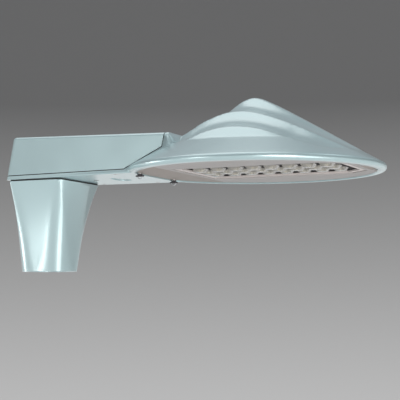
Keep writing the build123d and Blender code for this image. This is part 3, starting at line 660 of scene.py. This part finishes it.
@dataclass
class CaptiveScrews:
    """Two black thumb screws that hold the underside frame, each with a bar and a wire loop."""

    shop: Workshop
    places_mm: tuple[tuple[float, float], ...] = ((217.0, -70.0), (217.0, 70.0))
    top_mm: float = 163.3
    knob_radius_mm: float = 4.6
    knob_height_mm: float = 2.6
    ribs: int = 20
    valley_share: float = 0.93
    bar_mm: tuple[float, float, float] = (15.0, 3.6, 2.6)
    bar_sink_mm: float = 0.4
    bar_round_mm: float = 0.7
    loop_radius_mm: float = 4.2
    loop_sink_mm: float = 1.0
    loop_steps: int = 18
    wire_radius_mm: float = 0.7
    wire_sides: int = 10

    def knob(self) -> bmesh.types.BMesh:
        """Makes one ribbed knob with its cross bar.

        Returns:
            Its mesh, which hangs down from the origin.
        """
        mesh = bmesh.new()
        radius, height = self.knob_radius_mm * MM, self.knob_height_mm * MM
        made = bmesh.ops.create_cone(mesh, cap_ends=True, segments=2 * self.ribs,
                                     radius1=radius, radius2=radius, depth=height)
        for vert in made["verts"]:
            step = round(math.atan2(vert.co.y, vert.co.x) * self.ribs / math.pi)
            if step % 2:
                vert.co.xy *= self.valley_share
        bmesh.ops.translate(mesh, verts=made["verts"], vec=(0, 0, -0.5 * self.knob_height_mm * MM))
        size = Matrix.Diagonal((*(side * MM for side in self.bar_mm), 1.0))
        drop = -(self.knob_height_mm - self.bar_sink_mm + 0.5 * self.bar_mm[2]) * MM
        place = Matrix.Translation((0, 0, drop))
        bar = bmesh.ops.create_cube(mesh, size=1.0, matrix=place @ size)
        edges = {edge for vert in bar["verts"] for edge in vert.link_edges}
        bmesh.ops.bevel(mesh, geom=list(edges), offset=self.bar_round_mm * MM, segments=2,
                        profile=0.5, affect="EDGES")
        return mesh

    def loop(self) -> bmesh.types.BMesh:
        """Makes one half-round wire loop under the bar.

        Returns:
            Its mesh, which hangs down from the bar.
        """
        mesh = bmesh.new()
        ring = bmesh.ops.create_circle(mesh, segments=self.wire_sides,
                                       radius=self.wire_radius_mm * MM)["verts"]
        drop = -(self.knob_height_mm + self.bar_mm[2] - self.loop_sink_mm) * MM
        bmesh.ops.translate(mesh, verts=ring, vec=(self.loop_radius_mm * MM, 0, drop))
        edges = list({edge for vert in ring for edge in vert.link_edges})
        bmesh.ops.spin(mesh, geom=ring + edges, cent=(0, 0, drop), axis=(0, 1, 0),
                       angle=math.pi, steps=self.loop_steps)
        bmesh.ops.recalc_face_normals(mesh, faces=mesh.faces)
        return mesh

    def build(self) -> None:
        """Puts a knob and a loop at each screw of the frame's straight edge."""
        kinds = (
            (self.knob, "thumb_screw", Slot.GEAR_PLASTIC),
            (self.loop, "wire_loop", Slot.ZINC_STEEL),
        )
        for index, (x, y) in enumerate(self.places_mm, start=1):
            place = Matrix.Translation((x * MM, y * MM, self.top_mm * MM))
            for make, name, slot in kinds:
                mesh = make()
                mesh.transform(place)
                self.shop.ship(self.shop.piece(f"{name}_{index}", mesh), slot)


@dataclass(frozen=True)
class Lamp:
    """One soft area light of the studio, placed by angles in degrees and a distance in metres."""

    name: str
    azimuth: float
    elevation: float
    distance: float
    width: float
    height: float
    power: float
    tint: tuple[float, float, float] = (1.0, 1.0, 1.0)

    def build(self, target: Vector) -> None:
        """Makes the light.

        Args:
            target: The point that it faces.
        """
        turn, rise = math.radians(self.azimuth), math.radians(self.elevation)
        level = math.cos(rise)
        away = Vector((math.sin(turn) * level, -math.cos(turn) * level, math.sin(rise)))
        data = bpy.data.lights.new(self.name, "AREA")
        data.shape = "RECTANGLE"
        data.size, data.size_y = self.width, self.height
        data.energy = self.power
        data.color = self.tint
        lamp = link(self.name, data)
        lamp.location = target + away * self.distance
        lamp.rotation_euler = (-away).to_track_quat("-Z", "Y").to_euler()
        lamp.visible_camera = False


@dataclass
class Studio:
    """Camera, lamps and a pale round cyclorama under and behind the lamp head.

    Lengths are in metres where the name doesn't say millimetres.
    """

    eye_mm: tuple[float, float, float] = (1124.37, -1928.55, -36.84)
    right: tuple[float, float, float] = (0.91909, 0.39402, -0.00478)
    up: tuple[float, float, float] = (0.03388, -0.06694, 0.99718)
    forward: tuple[float, float, float] = (-0.39258, 0.91666, 0.07487)
    lens_mm: float = 109.4
    sensor_mm: float = 36.0
    target: tuple[float, float, float] = (0.3, 0.0, 0.2)
    floor_z: float = -0.75
    radius: float = 5.5
    curve: float = 0.9
    curve_steps: int = 12
    turn_steps: int = 96
    wall: float = 3.2
    seam: float = 1e-5
    # Painted shade: the backdrop's glow is painted darker from the floor colour up to the colour at
    # high_z.
    low_colour: Colour = linear(198, 198, 198)
    high_colour: Colour = linear(92, 92, 92)
    high_z: float = 1.15
    matt_colour: Colour = linear(205, 205, 205)
    glow_share: float = 0.8
    # Painted reflection: extra glow of the backdrop that only glossy reflections see.
    painted_reflection_lift: float = 0.9
    sky_colour: Colour = (0.9, 0.95, 1.0, 1.0)
    sky_strength: float = 0.42
    lamps: tuple[Lamp, ...] = (
        Lamp("top_softbox", -70.0, 78.0, 2.3, 2.9, 2.3, 25.0, (1.0, 0.9, 0.88)),
        Lamp("floor_card", 58.0, -26.0, 1.7, 1.2, 0.8, 8.0, WARM_TINT),
        Lamp("left_strip", -28.0, -6.0, 2.6, 0.3, 0.6, 7.0, WARM_TINT),
        Lamp("arm_fill", -40.0, 17.0, 2.9, 1.7, 0.7, 3.0),
        Lamp("right_strip", 40.0, -3.0, 2.7, 1.1, 0.6, 21.0, WARM_TINT),
        Lamp("left_wall", -78.0, -4.0, 2.8, 0.8, 0.6, 11.0, WARM_TINT),
        Lamp("back_right", 112.0, 48.0, 2.6, 1.1, 1.0, 3.4),
    )

    def camera(self) -> None:
        """Makes the camera at the photograph's viewpoint."""
        data = bpy.data.cameras.new("viewpoint")
        data.lens, data.sensor_width = self.lens_mm, self.sensor_mm
        camera = link("viewpoint", data)
        axes = Matrix((self.right, self.up, [-level for level in self.forward])).transposed()
        camera.matrix_world = Matrix.Translation(Vector(self.eye_mm) * MM) @ axes.to_4x4()
        bpy.context.scene.camera = camera

    def stage_material(self) -> bpy.types.Material:
        """Makes a pale material that keeps shadows; where seen it glows with painted shade that
        darkens it gently with height, and in reflections a painted reflection glow lifts it
        further.

        Returns:
            The node material.
        """
        graph = Graph("pale_cyclorama")
        # Painted shade: the glow's colour darkens with height, in place of light falling off.
        painted_shade_ramp = graph.add("ShaderNodeMapRange", {
            "Value": graph.axis("Z"), "From Min": self.floor_z, "From Max": self.high_z,
            "To Min": 0.0, "To Max": 1.0,
        }).outputs["Result"]
        seen = graph.blend(painted_shade_ramp, self.low_colour, self.high_colour)
        rays = graph.add("ShaderNodeLightPath").outputs
        mirrored = rays["Is Glossy Ray"]
        direct = graph.maths("MAXIMUM", rays["Is Camera Ray"], mirrored)
        share = graph.maths("MULTIPLY", direct, self.glow_share)
        # Painted reflection: in glossy reflections the backdrop glows brighter than where it is
        # seen directly.
        lift = graph.maths("MULTIPLY_ADD", mirrored, self.painted_reflection_lift, 1.0)
        matt = graph.add("ShaderNodeBsdfDiffuse", {"Color": self.matt_colour}).outputs["BSDF"]
        glow = graph.add("ShaderNodeEmission", {"Color": seen, "Strength": lift})
        inputs = {0: share, 1: matt, 2: glow.outputs["Emission"]}
        return graph.close(graph.add("ShaderNodeMixShader", inputs).outputs[0])

    def cyclorama(self) -> None:
        """Spins a floor that curves up into a wall all the way round."""
        mesh = bmesh.new()
        profile = [Vector((0.0, 0.0, self.floor_z))]
        for step in range(self.curve_steps + 1):
            turn = 0.5 * math.pi * step / self.curve_steps
            x = self.radius - self.curve + self.curve * math.sin(turn)
            profile.append(Vector((x, 0.0, self.floor_z + self.curve * (1 - math.cos(turn)))))
        profile.append(Vector((self.radius, 0.0, self.floor_z + self.wall)))
        verts = [mesh.verts.new(point) for point in profile]
        edges = [mesh.edges.new(pair) for pair in zip(verts, verts[1:])]
        bmesh.ops.spin(mesh, geom=verts + edges, cent=(0, 0, 0), axis=(0, 0, 1),
                       angle=2 * math.pi, steps=self.turn_steps, use_merge=True)
        bmesh.ops.remove_doubles(mesh, verts=mesh.verts, dist=self.seam)
        bmesh.ops.recalc_face_normals(mesh, faces=mesh.faces)
        data = bpy.data.meshes.new("cyclorama")
        mesh.to_mesh(data)
        mesh.free()
        data.shade_smooth()
        data.materials.append(self.stage_material())
        link("cyclorama", data)

    def world(self) -> None:
        """Fills the shadows with a dim even sky."""
        world = bpy.data.worlds.new("soft_sky")
        world.use_nodes = True
        sky = world.node_tree.nodes["Background"].inputs
        sky["Color"].default_value = self.sky_colour
        sky["Strength"].default_value = self.sky_strength
        bpy.context.scene.world = world

    def build(self) -> None:
        """Sets up everything round the object."""
        bpy.context.scene.view_settings.view_transform = "Standard"
        self.camera()
        self.cyclorama()
        self.world()
        for lamp in self.lamps:
            lamp.build(Vector(self.target))
        LOG.info("studio ready with %d lamps", len(self.lamps))


def clear_scene() -> None:
    """Removes whatever the default file holds."""
    for item in list(bpy.data.objects):
        bpy.data.objects.remove(item)


def main() -> None:
    """Builds the lamp head's looks in order."""
    logging.basicConfig(level=logging.INFO, format="%(name)s: %(message)s")
    clear_scene()
    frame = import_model()
    Studio().build()
    shop = Workshop(frame)
    for node in shop.nodes:
        shop.finish_node(node)
    for assembly in (Castings(shop), Lenses(shop), CaptiveScrews(shop)):
        assembly.build()


if __name__ == "__main__":
    main()
